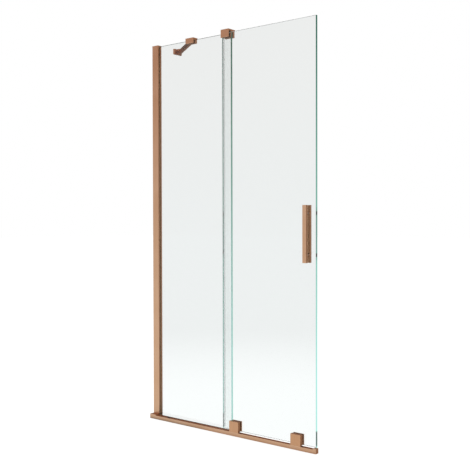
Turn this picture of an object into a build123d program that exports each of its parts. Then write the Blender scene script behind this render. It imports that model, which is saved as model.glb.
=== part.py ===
from build123d import *
import math
import os

# Sliding bath screen, in millimetres. The wall is the plane X = 0, the bath rim is Z = 0,
# the middle of the fixed pane is Y = 0 and the bather stands on the +Y side.

# The screen as a whole
screen_width = 800.0
pane_height = 1500.0
glass_thickness = 8.0
glass_arris = 0.8
running_gap = 0.3
seat_gap = 0.2
edge_break = 0.5
head_sink = 0.1
thread_end_gap = 1.0
same_place = 0.01

# Wall profile: a channel screwed to the wall, and the channel that slides over it
wall_channel_base = 2.5
wall_channel_flange = 2.0
wall_channel_reach = 19.0
channel_start = 1.0
channel_end = 32.0
channel_depth = 24.0
channel_wall = 2.0
channel_web_start = 20.0
channel_web = 2.0
channel_cap_thickness = 4.0
channel_cap_plug = 12.0
wall_hole_radius = 2.75
wall_hole_count = 4
wall_hole_end_margin = 120.0
lock_screw_end_margin = 200.0
lock_screw_inset = 9.0
lock_screw_radius = 2.0
lock_thread_radius = 1.5
lock_head_radius = 3.6
lock_head_height = 1.6

# Fixed pane and what holds it
pane_edge_gap = 2.0
fixed_glass_width = 385.0
gasket_thickness = 2.0
gasket_length = 6.0
gasket_lip = 1.2
sill_base = 2.0
sill_height = 10.5
sill_wall = 2.0
sill_pane_gap = 0.5
setting_block_height = 2.0
setting_block_length = 60.0
setting_block_inset = 50.0

# Sliding pane
pane_gap = 7.0
pane_overlap = 33.3
sliding_glass_end_margin = 6.3
sliding_glass_floor_gap = 1.0
sliding_glass_top_drop = 1.5
handle_stop_margin = 7.4
profile_stop_margin = 10.0

# Bottom rail
rail_depth = 16.5
rail_height = 14.0
rail_wall = 1.8
groove_width = 7.0
groove_depth = 1.5
rail_block_width = 31.0
rail_block_height = 18.0
end_cap_width = 12.0
spigot_length = 18.0
rail_screw_radius = 1.5
rail_screw_head_radius = 2.8
rail_screw_length = 7.0
stop_length = 10.0
stop_height = 3.0

# Carriages and their rollers
carriage_width = 42.4
carriage_rail_gap = 3.5
carriage_height = 37.5
carriage_front_proud = 2.0
carriage_lip_gap = 0.6
clamp_plate_thickness = 5.0
clamp_pad_thickness = 0.5
left_carriage_inset = 41.5
right_carriage_inset = 56.5
roller_radius = 11.0
roller_width = 6.0
roller_offset = 4.25
roller_side_gap = 0.6
roller_top_gap = 1.5
bearing_outer_radius = 6.5
bearing_width = 5.0
bearing_groove = 0.4
axle_radius = 2.5
axle_clearance = 0.05
axle_head_radius = 4.0
axle_head_height = 0.7
axle_seat_depth = 5.0
clamp_screw_spacing = 24.0
clamp_screw_drop = 9.0
clamp_screw_radius = 2.5
clamp_screw_depth = 9.0
clamp_head_radius = 4.5
clamp_head_height = 2.5
clamp_hex_depth = 1.2
clamp_glass_hole_radius = 4.5

# Top guide block
guide_width = 38.0
guide_overhang = 1.5
guide_front_wall = 4.0
guide_back_wall = 10.0
guide_grip = 19.0
guide_rise = 11.0
guide_liner_thickness = 1.2
guide_roof_gap = 5.0
guide_pad_thickness = 1.5
guide_screw_radius = 2.5
guide_screw_spacing = 20.0
grub_hex_depth = 3.0

# Support arm between the fixed pane and the wall
arm_clamp_centre_x = 200.0
arm_clamp_width = 40.0
arm_clamp_front_jaw = 4.7
arm_clamp_back_jaw = 13.5
arm_clamp_grip = 12.0
arm_clamp_height = 21.0
arm_clamp_pad = 0.5
arm_clamp_screw_radius = 2.0
arm_clamp_screw_spacing = 28.0
arm_clamp_screw_height = 3.7
arm_plate_thickness = 8.0
arm_plate_centre_y = 136.0
arm_plate_width = 44.0
arm_plate_drop = 8.0
arm_plate_height = 22.0
arm_plate_hole_radius = 2.5
arm_plate_hole_spacing = 32.0
arm_knuckle_width = 16.0
arm_knuckle_corner = 5.3
arm_pivot_from_wall = 16.0
arm_pivot_from_pane = 11.0
arm_bar_rise = 0.5
arm_bar_height = 18.0
arm_bar_thickness = 9.0
arm_tongue_height = 10.0
arm_tongue_at_wall = 13.0
arm_tongue_at_pane = 21.0
arm_tongue_radius = 5.0
tongue_side_gap = 1.0
arm_pin_radius = 2.5

# Handle: one bar on each side of the sliding pane
handle_height = 200.0
handle_centre_z = 752.5
handle_width = 15.0
handle_thickness = 11.0
handle_edge_distance = 32.3
handle_fixing_spacing = 144.0
handle_collar_height = 3.4
handle_washer_height = 0.6
handle_collar_radius = 6.0
handle_screw_radius = 2.5
handle_head_radius = 4.5
handle_head_height = 5.0
handle_thread_depth = 8.0
handle_glass_hole_radius = 5.0

# Overlap seal on the leading edge of the sliding pane
seal_wall = 1.2
seal_grip = 8.5
seal_clearance = 0.5
seal_bottom_inset = 5.0
seal_top_inset = 22.5

# Places that follow from the sizes above
fixed_front = -glass_thickness / 2
fixed_back = glass_thickness / 2
sliding_back = fixed_front - pane_gap
sliding_front = sliding_back - glass_thickness
fixed_left = channel_web_start + channel_web + pane_edge_gap
fixed_right = fixed_left + fixed_glass_width
sliding_left = fixed_right - pane_overlap
sliding_right = screen_width - sliding_glass_end_margin
sliding_bottom = rail_block_height + sliding_glass_floor_gap
sliding_top = pane_height - sliding_glass_top_drop
fixed_bottom = sill_base + setting_block_height
rail_centre_y = sliding_front - roller_offset
rail_front = rail_centre_y - rail_depth / 2
rail_back = rail_centre_y + rail_depth / 2
rail_left = rail_block_width
rail_right = screen_width - end_cap_width
groove_floor = rail_height - groove_depth
axle_height = groove_floor + running_gap + roller_radius
carriage_bottom = rail_height + carriage_rail_gap
carriage_top = carriage_bottom + carriage_height
carriage_front = rail_front - carriage_front_proud
carriage_back_of_housing = sliding_front - clamp_pad_thickness
clamp_plate_front = sliding_back + clamp_pad_thickness
clamp_plate_back = clamp_plate_front + clamp_plate_thickness
clamp_screw_height = carriage_top - clamp_screw_drop
left_carriage_x = sliding_left + left_carriage_inset
right_carriage_x = sliding_right - right_carriage_inset - carriage_width
carriages = {"left": left_carriage_x, "right": right_carriage_x}
guide_right = fixed_right + guide_overhang
guide_left = guide_right - guide_width
guide_bottom = pane_height - guide_grip
guide_top = pane_height + guide_rise
slide_slot_front = sliding_front - running_gap - guide_liner_thickness
slide_slot_back = sliding_back + running_gap + guide_liner_thickness
guide_front = slide_slot_front - guide_front_wall
guide_pad_back = fixed_back + guide_pad_thickness
guide_back = guide_pad_back + guide_back_wall
handle_gap = handle_collar_height + handle_washer_height
handle_x = sliding_right - handle_edge_distance - handle_width / 2
handle_span = (handle_x - handle_width / 2, handle_x + handle_width / 2)
handle_front_inner = sliding_front - handle_gap
handle_front_outer = handle_front_inner - handle_thickness
handle_rear_inner = sliding_back + handle_gap
handle_rear_outer = handle_rear_inner + handle_thickness
handle_fixing_heights = [handle_centre_z + side * handle_fixing_spacing / 2 for side in (-1, 1)]
wall_hole_spacing = (pane_height - 2 * wall_hole_end_margin) / (wall_hole_count - 1)
wall_hole_heights = [
    wall_hole_end_margin + number * wall_hole_spacing for number in range(wall_hole_count)
]
lock_screw_heights = (lock_screw_end_margin, pane_height / 2, pane_height - lock_screw_end_margin)
seal_bottom = sliding_bottom + seal_bottom_inset
seal_top = sliding_top - seal_top_inset
arm_clamp_bottom = pane_height - arm_clamp_grip
arm_plate_bottom = pane_height - arm_plate_drop
arm_bar_centre_z = pane_height + arm_bar_rise
arm_wall_pivot = (arm_pivot_from_wall, arm_plate_centre_y)
arm_pane_pivot = (arm_clamp_centre_x, arm_pivot_from_pane)

# The door opens until its handle nears the fixed pane or its seal nears the wall profile
travel_to_handle = handle_span[0] - fixed_right - handle_stop_margin
travel_to_profile = sliding_left - seal_wall - channel_end - profile_stop_margin
door_travel = min(travel_to_handle, travel_to_profile)

os.makedirs("parts", exist_ok=True)


def save(builder, name):
    """Label a finished piece and write its STEP file."""
    builder.part.label = name
    export_step(builder.part, f"parts/{name}.step")


def block(x, y, z, mode=Mode.ADD):
    """Add or cut a box between two values on each axis."""
    with Locations(((x[0] + x[1]) / 2, (y[0] + y[1]) / 2, (z[0] + z[1]) / 2)):
        Box(x[1] - x[0], y[1] - y[0], z[1] - z[0], mode=mode)


def facing_back(x, y, z):
    """A plane whose normal points to +Y, with its origin at the given point."""
    return Plane(origin=(x, y, z), x_dir=(-1, 0, 0), z_dir=(0, 1, 0))


# Wall channel: screwed to the wall, hidden inside the outer channel
inner_half = channel_depth / 2 - channel_wall - running_gap
with BuildPart() as wall_channel:
    with BuildSketch(Plane.XY):
        with Locations((wall_channel_reach / 2, 0)):
            Rectangle(wall_channel_reach, 2 * inner_half)
        with Locations(((wall_channel_reach + wall_channel_base) / 2, 0)):
            Rectangle(
                wall_channel_reach - wall_channel_base,
                2 * (inner_half - wall_channel_flange),
                mode=Mode.SUBTRACT,
            )
    extrude(amount=pane_height)
    for height in wall_hole_heights:
        with Locations(Plane(origin=(0, 0, height), z_dir=(1, 0, 0))):
            Cylinder(wall_hole_radius, 4 * wall_channel_base, mode=Mode.SUBTRACT)
    for height in lock_screw_heights:
        with Locations(facing_back(lock_screw_inset, inner_half, height)):
            Cylinder(lock_thread_radius, 4 * wall_channel_flange, mode=Mode.SUBTRACT)
save(wall_channel, "wall_channel")

# Outer channel: slides over the wall channel and grips the fixed pane
channel_half = channel_depth / 2
pane_slot_half = fixed_back + gasket_thickness
with BuildPart() as glass_channel:
    with BuildSketch(Plane.XY):
        with Locations(((channel_start + channel_end) / 2, 0)):
            Rectangle(channel_end - channel_start, channel_depth)
        with Locations(((channel_start + channel_web_start) / 2, 0)):
            Rectangle(
                channel_web_start - channel_start,
                channel_depth - 2 * channel_wall,
                mode=Mode.SUBTRACT,
            )
        pocket_start = channel_web_start + channel_web
        pocket_end = channel_end - channel_wall
        with Locations(((pocket_start + pocket_end) / 2, 0)):
            Rectangle(
                pocket_end - pocket_start, channel_depth - 2 * channel_wall, mode=Mode.SUBTRACT
            )
        with Locations((channel_end - channel_wall, 0)):
            Rectangle(4 * channel_wall, 2 * pane_slot_half, mode=Mode.SUBTRACT)
    extrude(amount=pane_height)
    outer_corners = glass_channel.edges().filter_by(Axis.Z).filter_by(
        lambda edge: abs(abs(edge.center().Y) - channel_half) < same_place
    )
    fillet(outer_corners, edge_break)
    for height in lock_screw_heights:
        with Locations(facing_back(lock_screw_inset, channel_half, height)):
            CounterSinkHole(lock_screw_radius, lock_head_radius, depth=2 * channel_wall)
save(glass_channel, "glass_channel")

# Screws on the bather's side that lock the two channels together
with BuildPart() as channel_lock_screws:
    lock_head_back = channel_half - head_sink
    lock_head_front = lock_head_back - lock_head_height
    for height in lock_screw_heights:
        with BuildSketch(facing_back(lock_screw_inset, lock_head_back, height)):
            Circle(lock_head_radius - seat_gap)
        with BuildSketch(facing_back(lock_screw_inset, lock_head_front, height)):
            Circle(lock_head_radius - seat_gap - lock_head_height)
        loft()
        with BuildSketch(facing_back(lock_screw_inset, lock_head_front, height)):
            Circle(lock_thread_radius)
        extrude(amount=-(channel_wall + wall_channel_flange + running_gap))
save(channel_lock_screws, "channel_lock_screws")

# Cap that closes the top of the wall profile
with BuildPart() as channel_top_cap:
    cap_z = (pane_height, pane_height + channel_cap_thickness)
    block((0, channel_end), (-channel_half, channel_half), cap_z)
    top_rim = channel_top_cap.faces().sort_by(Axis.Z)[-1].edges()
    chamfer(top_rim, edge_break)
    plug_half = inner_half - wall_channel_flange - seat_gap
    plug_x = (wall_channel_base + seat_gap, channel_web_start - seat_gap)
    block(plug_x, (-plug_half, plug_half), (pane_height - channel_cap_plug, pane_height))
save(channel_top_cap, "channel_top_cap")

# Fixed pane
fixed_z = (fixed_bottom, pane_height)
with BuildPart() as fixed_glass:
    block((fixed_left, fixed_right), (fixed_front, fixed_back), fixed_z)
    chamfer(fixed_glass.edges().filter_by(Axis.Z), glass_arris)
    chamfer(fixed_glass.faces().sort_by(Axis.Z)[-1].edges().filter_by(Axis.X), glass_arris)
save(fixed_glass, "fixed_glass")

# Gaskets either side of the fixed pane, in the mouth of the outer channel
for side, name in ((-1, "glazing_gasket_front"), (1, "glazing_gasket_rear")):
    with BuildPart() as glazing_gasket:
        with BuildSketch(Plane.XY.offset(fixed_bottom)):
            with BuildLine():
                near = side * fixed_back
                far = side * pane_slot_half
                hook = side * (pane_slot_half + gasket_lip)
                inner_face = channel_end - channel_wall - seat_gap
                Polyline(
                    (channel_end, near),
                    (channel_end, far),
                    (inner_face, far),
                    (inner_face, hook),
                    (inner_face - gasket_lip, hook),
                    (channel_end - gasket_length, near),
                    close=True,
                )
            make_face()
        extrude(amount=pane_height - fixed_bottom)
    save(glazing_gasket, name)

# Low sill channel that carries the fixed pane behind the rail
sill_half = fixed_back + sill_pane_gap + sill_wall
with BuildPart() as sill_channel:
    sill_x = (channel_end, fixed_right)
    block(sill_x, (rail_back, sill_half), (0, sill_base))
    for side in (-1, 1):
        inner = side * (fixed_back + sill_pane_gap)
        outer = side * sill_half
        block(sill_x, sorted((inner, outer)), (0, sill_height))
save(sill_channel, "sill_channel")

# Setting blocks under the fixed pane
with BuildPart() as setting_blocks:
    first_block = channel_end + setting_block_inset
    last_block = fixed_right - setting_block_inset - setting_block_length
    for start in (first_block, last_block):
        block(
            (start, start + setting_block_length),
            (fixed_front, fixed_back),
            (sill_base, fixed_bottom),
        )
save(setting_blocks, "setting_blocks")

# Bottom rail: a hollow bar with a groove for the rollers
cavity_depth = rail_depth - 2 * rail_wall
cavity_top = groove_floor - rail_wall
cavity_centre = (rail_wall + cavity_top) / 2
rail_screw_places = (rail_left + spigot_length / 2, rail_right - spigot_length / 2)
with BuildPart() as bottom_rail:
    with BuildSketch(Plane.YZ.offset(rail_left)) as rail_section:
        with Locations((rail_centre_y, rail_height / 2)):
            Rectangle(rail_depth, rail_height)
        with Locations((rail_centre_y, cavity_centre)):
            Rectangle(cavity_depth, cavity_top - rail_wall, mode=Mode.SUBTRACT)
        with Locations((rail_centre_y, rail_height)):
            Rectangle(groove_width, 2 * groove_depth, mode=Mode.SUBTRACT)
        outer_corners = rail_section.vertices().filter_by(
            lambda corner: abs(abs(corner.Y - rail_centre_y) - rail_depth / 2) < same_place
        )
        fillet(outer_corners, edge_break)
    extrude(amount=rail_right - rail_left)
    for place in rail_screw_places:
        with Locations(facing_back(place, rail_back, cavity_centre)):
            CounterSinkHole(rail_screw_radius, rail_screw_head_radius, depth=2 * rail_wall)
save(bottom_rail, "bottom_rail")

# Block at the wall end of the rail and cap at its free end, each with a spigot in the rail
spigot_depth = cavity_depth - 2 * seat_gap
spigot_height = cavity_top - rail_wall - 2 * seat_gap
spigot_y = (rail_centre_y - spigot_depth / 2, rail_centre_y + spigot_depth / 2)
spigot_z = (cavity_centre - spigot_height / 2, cavity_centre + spigot_height / 2)
rail_ends = (
    ("rail_wall_block", (0, rail_left), -channel_half, (rail_left, rail_left + spigot_length)),
    ("rail_end_cap", (rail_right, screen_width), rail_back, (rail_right - spigot_length, rail_right)),
)
for name, body_x, body_back, spigot_x in rail_ends:
    with BuildPart() as rail_end:
        block(body_x, (rail_front, body_back), (0, rail_block_height))
        chamfer(rail_end.edges().group_by(Axis.Z)[-1], edge_break)
        block(spigot_x, spigot_y, spigot_z)
        for place in rail_screw_places:
            with Locations(facing_back(place, spigot_y[1], cavity_centre)):
                Cylinder(rail_screw_radius, 2 * rail_screw_length, mode=Mode.SUBTRACT)
    save(rail_end, name)

# Countersunk screws through the back of the rail into the spigots
with BuildPart() as rail_fixing_screws:
    rail_head_back = rail_back - head_sink
    rail_head_front = rail_head_back - (rail_screw_head_radius - rail_screw_radius)
    rail_screw_tip = spigot_y[1] - rail_screw_length + thread_end_gap
    for place in rail_screw_places:
        with BuildSketch(facing_back(place, rail_head_back, cavity_centre)):
            Circle(rail_screw_head_radius - head_sink)
        with BuildSketch(facing_back(place, rail_head_front, cavity_centre)):
            Circle(rail_screw_radius - head_sink)
        loft()
        with BuildSketch(facing_back(place, rail_screw_tip, cavity_centre)):
            Circle(rail_screw_radius - head_sink)
        extrude(amount=rail_head_front - rail_screw_tip)
save(rail_fixing_screws, "rail_fixing_screws")

# Rubber stops in the groove, where the rollers end their travel
stop_reach = math.sqrt(roller_radius**2 - (axle_height - groove_floor - stop_height) ** 2) + running_gap
open_roller_x = left_carriage_x + carriage_width / 2 - door_travel
closed_roller_x = right_carriage_x + carriage_width / 2
stop_y = (rail_centre_y - groove_width / 2, rail_centre_y + groove_width / 2)
with BuildPart() as rail_stops:
    for start in (open_roller_x - stop_reach - stop_length, closed_roller_x + stop_reach):
        block((start, start + stop_length), stop_y, (groove_floor, groove_floor + stop_height))
save(rail_stops, "rail_stops")

# Sliding pane, drilled for the carriages and the handle
with BuildPart() as sliding_glass:
    block(
        (sliding_left, sliding_right),
        (sliding_front, sliding_back),
        (sliding_bottom, sliding_top),
    )
    chamfer(sliding_glass.edges().filter_by(Axis.Z), glass_arris)
    for end_face in (0, -1):
        rim = sliding_glass.faces().sort_by(Axis.Z)[end_face].edges().filter_by(Axis.X)
        chamfer(rim, glass_arris)
    for carriage_x in carriages.values():
        for side in (-1, 1):
            screw_x = carriage_x + carriage_width / 2 + side * clamp_screw_spacing / 2
            with Locations(facing_back(screw_x, sliding_back, clamp_screw_height)):
                Cylinder(clamp_glass_hole_radius, 3 * glass_thickness, mode=Mode.SUBTRACT)
    for height in handle_fixing_heights:
        with Locations(facing_back(handle_x, sliding_back, height)):
            Cylinder(handle_glass_hole_radius, 3 * glass_thickness, mode=Mode.SUBTRACT)
save(sliding_glass, "sliding_glass")

# Clear seal on the leading edge of the sliding pane, with a fin towards the fixed pane
with BuildPart() as overlap_seal:
    with BuildSketch(Plane.XY.offset(seal_bottom)):
        seal_front = sliding_front - seal_wall
        seal_back = sliding_back + seal_wall
        seal_left = sliding_left - seal_wall
        fin_tip = fixed_front - seal_clearance
        with BuildLine():
            Polyline(
                (seal_left, seal_front),
                (sliding_left + seal_grip, seal_front),
                (sliding_left + seal_grip, sliding_front),
                (sliding_left, sliding_front),
                (sliding_left, sliding_back),
                (sliding_left + seal_grip, sliding_back),
                (sliding_left + seal_grip, seal_back),
                (sliding_left + seal_wall, seal_back),
                (sliding_left + seal_grip / 2, fin_tip),
                (sliding_left + seal_grip / 2 - seal_wall, fin_tip),
                (seal_left, seal_back),
                close=True,
            )
        make_face()
    extrude(amount=seal_top - seal_bottom)
save(overlap_seal, "overlap_seal")

# Carriages: a housing with its roller in front of the pane, clamped to a plate behind it
pocket_half_width = roller_radius + roller_top_gap
pocket_front = rail_centre_y - roller_width / 2 - roller_side_gap
lip_bottom = rail_height + carriage_lip_gap
housing_y = (carriage_front, carriage_back_of_housing)
housing_z = (carriage_bottom, carriage_top)
roller_front = rail_centre_y - roller_width / 2
roller_back = rail_centre_y + roller_width / 2
axle_front = pocket_front - axle_seat_depth
for side_name, carriage_x in carriages.items():
    carriage_span = (carriage_x, carriage_x + carriage_width)
    carriage_middle = carriage_x + carriage_width / 2
    screw_places = [carriage_middle + side * clamp_screw_spacing / 2 for side in (-1, 1)]

    with BuildPart() as carriage_housing:
        block(carriage_span, housing_y, housing_z)
        block(carriage_span, (carriage_front, pocket_front), (lip_bottom, carriage_bottom))
        fillet(carriage_housing.faces().sort_by(Axis.Y)[0].edges(), edge_break)
        pocket_x = (carriage_middle - pocket_half_width, carriage_middle + pocket_half_width)
        pocket_top = axle_height + pocket_half_width
        pocket_y = (pocket_front, carriage_back_of_housing)
        block(pocket_x, pocket_y, (carriage_bottom, pocket_top), mode=Mode.SUBTRACT)
        with Locations(facing_back(carriage_middle, pocket_front, axle_height)):
            Cylinder(axle_radius, 2 * axle_seat_depth, mode=Mode.SUBTRACT)
        for place in screw_places:
            with Locations(facing_back(place, carriage_back_of_housing, clamp_screw_height)):
                Cylinder(clamp_screw_radius, 2 * clamp_screw_depth, mode=Mode.SUBTRACT)
    save(carriage_housing, f"{side_name}_carriage_housing")

    with BuildPart() as carriage_clamp_plate:
        block(carriage_span, (clamp_plate_front, clamp_plate_back), housing_z)
        fillet(carriage_clamp_plate.faces().sort_by(Axis.Y)[-1].edges(), edge_break)
        for place in screw_places:
            with Locations(facing_back(place, clamp_plate_back, clamp_screw_height)):
                CounterBoreHole(
                    clamp_screw_radius + seat_gap, clamp_head_radius + seat_gap, clamp_head_height
                )
    save(carriage_clamp_plate, f"{side_name}_carriage_clamp_plate")

    with BuildPart() as carriage_pads:
        pad_z = (pocket_top, carriage_top)
        block(carriage_span, (carriage_back_of_housing, sliding_front), pad_z)
        block(carriage_span, (sliding_back, clamp_plate_front), pad_z)
        for place in screw_places:
            with Locations(facing_back(place, sliding_back, clamp_screw_height)):
                Cylinder(clamp_glass_hole_radius, 4 * glass_thickness, mode=Mode.SUBTRACT)
    save(carriage_pads, f"{side_name}_carriage_pads")

    with BuildPart() as carriage_screws:
        for place in screw_places:
            head_back = clamp_plate_back
            head_front = head_back - clamp_head_height
            tip = carriage_back_of_housing - clamp_screw_depth + thread_end_gap
            with BuildSketch(facing_back(place, head_front, clamp_screw_height)):
                Circle(clamp_head_radius)
            extrude(amount=clamp_head_height)
            with BuildSketch(facing_back(place, head_back, clamp_screw_height)):
                RegularPolygon(clamp_screw_radius, 6)
            extrude(amount=-clamp_hex_depth, mode=Mode.SUBTRACT)
            with BuildSketch(facing_back(place, tip, clamp_screw_height)):
                Circle(clamp_screw_radius)
            extrude(amount=head_front - tip)
    save(carriage_screws, f"{side_name}_carriage_screws")

    with BuildPart() as roller_axle:
        head_start = roller_back + running_gap / 2
        with BuildSketch(facing_back(carriage_middle, axle_front, axle_height)):
            Circle(axle_radius)
        extrude(amount=head_start - axle_front)
        with BuildSketch(facing_back(carriage_middle, head_start, axle_height)):
            Circle(axle_head_radius)
        extrude(amount=axle_head_height)
    save(roller_axle, f"{side_name}_roller_axle")

    with BuildPart() as roller_tyre:
        with BuildSketch(facing_back(carriage_middle, roller_front, axle_height)):
            Circle(roller_radius)
            Circle(bearing_outer_radius, mode=Mode.SUBTRACT)
        extrude(amount=roller_width)
        rolling_edges = roller_tyre.edges().filter_by(GeomType.CIRCLE).filter_by(
            lambda edge: abs(edge.radius - roller_radius) < same_place
        )
        fillet(rolling_edges, edge_break)
    save(roller_tyre, f"{side_name}_roller_tyre")

    with BuildPart() as roller_bearing:
        bearing_start = rail_centre_y - bearing_width / 2
        bore_radius = axle_radius + axle_clearance
        shield_radius = (bearing_outer_radius + bore_radius) / 2
        with BuildSketch(facing_back(carriage_middle, bearing_start, axle_height)):
            Circle(bearing_outer_radius)
            Circle(bore_radius, mode=Mode.SUBTRACT)
        extrude(amount=bearing_width)
        for start, direction in ((bearing_start, 1), (bearing_start + bearing_width, -1)):
            with BuildSketch(facing_back(carriage_middle, start, axle_height)):
                Circle(shield_radius + bearing_groove * 2)
                Circle(shield_radius - bearing_groove * 2, mode=Mode.SUBTRACT)
            extrude(amount=direction * bearing_groove, mode=Mode.SUBTRACT)
    save(roller_bearing, f"{side_name}_roller_bearing")

# Top guide block: holds the fixed pane's free corner and guides the sliding pane
guide_x = (guide_left, guide_right)
guide_roof = pane_height + guide_roof_gap
pad_screw_z = (guide_bottom + pane_height) / 2
guide_middle = (guide_left + guide_right) / 2
guide_screw_places = [guide_middle + side * guide_screw_spacing / 2 for side in (-1, 1)]
with BuildPart() as guide_block:
    block(guide_x, (guide_front, guide_back), (guide_bottom, guide_top))
    fillet(guide_block.edges(), edge_break)
    block(guide_x, (slide_slot_front, slide_slot_back), (guide_bottom, guide_roof), Mode.SUBTRACT)
    block(guide_x, (fixed_front, guide_pad_back), (guide_bottom, pane_height), Mode.SUBTRACT)
    for place in guide_screw_places:
        with Locations(facing_back(place, guide_back, pad_screw_z)):
            Cylinder(guide_screw_radius, 2 * guide_back_wall, mode=Mode.SUBTRACT)
save(guide_block, "guide_block")

# Slippery strips that line the guide slot
with BuildPart() as guide_liners:
    liner_z = (guide_bottom + edge_break, guide_roof)
    front_liner = (slide_slot_front, slide_slot_front + guide_liner_thickness)
    back_liner = (slide_slot_back - guide_liner_thickness, slide_slot_back)
    for liner_y in (front_liner, back_liner):
        block((guide_left + edge_break, guide_right - edge_break), liner_y, liner_z)
save(guide_liners, "guide_liners")

# Pressure pad and grub screws that grip the fixed pane
with BuildPart() as guide_clamp_pad:
    pad_x = (guide_left + edge_break, fixed_right)
    block(pad_x, (fixed_back, guide_pad_back), (guide_bottom + edge_break, pane_height))
save(guide_clamp_pad, "guide_clamp_pad")

with BuildPart() as guide_grub_screws:
    for place in guide_screw_places:
        with BuildSketch(facing_back(place, guide_pad_back, pad_screw_z)):
            Circle(guide_screw_radius)
        extrude(amount=guide_back_wall - edge_break)
        with BuildSketch(facing_back(place, guide_back - edge_break, pad_screw_z)):
            RegularPolygon(guide_screw_radius / 2, 6)
        extrude(amount=-grub_hex_depth, mode=Mode.SUBTRACT)
save(guide_grub_screws, "guide_grub_screws")

# Clamp that holds the support arm on the top edge of the fixed pane
arm_clamp_x = (arm_clamp_centre_x - arm_clamp_width / 2, arm_clamp_centre_x + arm_clamp_width / 2)
arm_clamp_z = (arm_clamp_bottom, arm_clamp_bottom + arm_clamp_height)
arm_clamp_slot = fixed_back + arm_clamp_pad
arm_clamp_front = -arm_clamp_slot - arm_clamp_front_jaw
arm_clamp_back = arm_clamp_slot + arm_clamp_back_jaw
arm_screw_places = [
    arm_clamp_centre_x + side * arm_clamp_screw_spacing / 2 for side in (-1, 1)
]
arm_screw_height = arm_clamp_bottom + arm_clamp_screw_height
tongue_slot_half = arm_tongue_height / 2 + running_gap
tongue_slot_z = (arm_bar_centre_z - tongue_slot_half, arm_bar_centre_z + tongue_slot_half)
with BuildPart() as arm_glass_clamp:
    block(arm_clamp_x, (arm_clamp_front, arm_clamp_back), arm_clamp_z)
    fillet(arm_glass_clamp.edges(), edge_break)
    block(arm_clamp_x, (-arm_clamp_slot, arm_clamp_slot), (arm_clamp_bottom, pane_height), Mode.SUBTRACT)
    slot_x = (arm_clamp_x[0], arm_clamp_centre_x + arm_tongue_radius + tongue_side_gap)
    slot_y = (arm_pivot_from_pane - arm_tongue_radius - tongue_side_gap, arm_clamp_back)
    block(slot_x, slot_y, tongue_slot_z, Mode.SUBTRACT)
    with Locations((*arm_pane_pivot, arm_bar_centre_z)):
        Cylinder(arm_pin_radius, 2 * arm_clamp_height, mode=Mode.SUBTRACT)
    for place in arm_screw_places:
        with Locations(facing_back(place, arm_clamp_back, arm_screw_height)):
            Cylinder(arm_clamp_screw_radius, 2 * arm_clamp_back_jaw, mode=Mode.SUBTRACT)
save(arm_glass_clamp, "arm_glass_clamp")

# Pads between that clamp and the glass, and the grub screws that press them
with BuildPart() as arm_clamp_pads:
    for side in (-1, 1):
        pad_y = sorted((side * fixed_back, side * arm_clamp_slot))
        block(arm_clamp_x, pad_y, (arm_clamp_bottom + edge_break, pane_height))
save(arm_clamp_pads, "arm_clamp_pads")

with BuildPart() as arm_clamp_screws:
    for place in arm_screw_places:
        with BuildSketch(facing_back(place, arm_clamp_slot, arm_screw_height)):
            Circle(arm_clamp_screw_radius)
        extrude(amount=arm_clamp_back_jaw - edge_break)
        with BuildSketch(facing_back(place, arm_clamp_back - edge_break, arm_screw_height)):
            RegularPolygon(arm_clamp_screw_radius / 2, 6)
        extrude(amount=-grub_hex_depth, mode=Mode.SUBTRACT)
save(arm_clamp_screws, "arm_clamp_screws")

# Wall plate of the arm, with two ears around the arm's tongue
arm_plate_z = (arm_plate_bottom, arm_plate_bottom + arm_plate_height)
arm_plate_y = (arm_plate_centre_y - arm_plate_width / 2, arm_plate_centre_y + arm_plate_width / 2)
knuckle_y = (arm_plate_centre_y - arm_knuckle_width / 2, arm_plate_centre_y + arm_knuckle_width / 2)
knuckle_end = arm_pivot_from_wall + arm_knuckle_width / 2
plate_hole_y = [arm_plate_centre_y + side * arm_plate_hole_spacing / 2 for side in (-1, 1)]
plate_hole_z = (arm_plate_z[0] + arm_plate_z[1]) / 2
with BuildPart() as arm_wall_plate:
    block((0, arm_plate_thickness), arm_plate_y, arm_plate_z)
    fillet(arm_wall_plate.faces().sort_by(Axis.X)[-1].edges(), edge_break)
    block((arm_plate_thickness, knuckle_end), knuckle_y, arm_plate_z)
    knuckle_corners = arm_wall_plate.edges().filter_by(Axis.Z).filter_by(
        lambda edge: abs(edge.center().X - knuckle_end) < same_place
    )
    fillet(knuckle_corners, arm_knuckle_corner)
    slot_x = (arm_plate_thickness, knuckle_end)
    block(slot_x, knuckle_y, tongue_slot_z, Mode.SUBTRACT)
    with Locations((*arm_wall_pivot, arm_bar_centre_z)):
        Cylinder(arm_pin_radius, 2 * arm_plate_height, mode=Mode.SUBTRACT)
    for place in plate_hole_y:
        with Locations(Plane(origin=(arm_plate_thickness, place, plate_hole_z), z_dir=(1, 0, 0))):
            Cylinder(arm_plate_hole_radius, 3 * arm_plate_thickness, mode=Mode.SUBTRACT)
save(arm_wall_plate, "arm_wall_plate")

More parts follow.
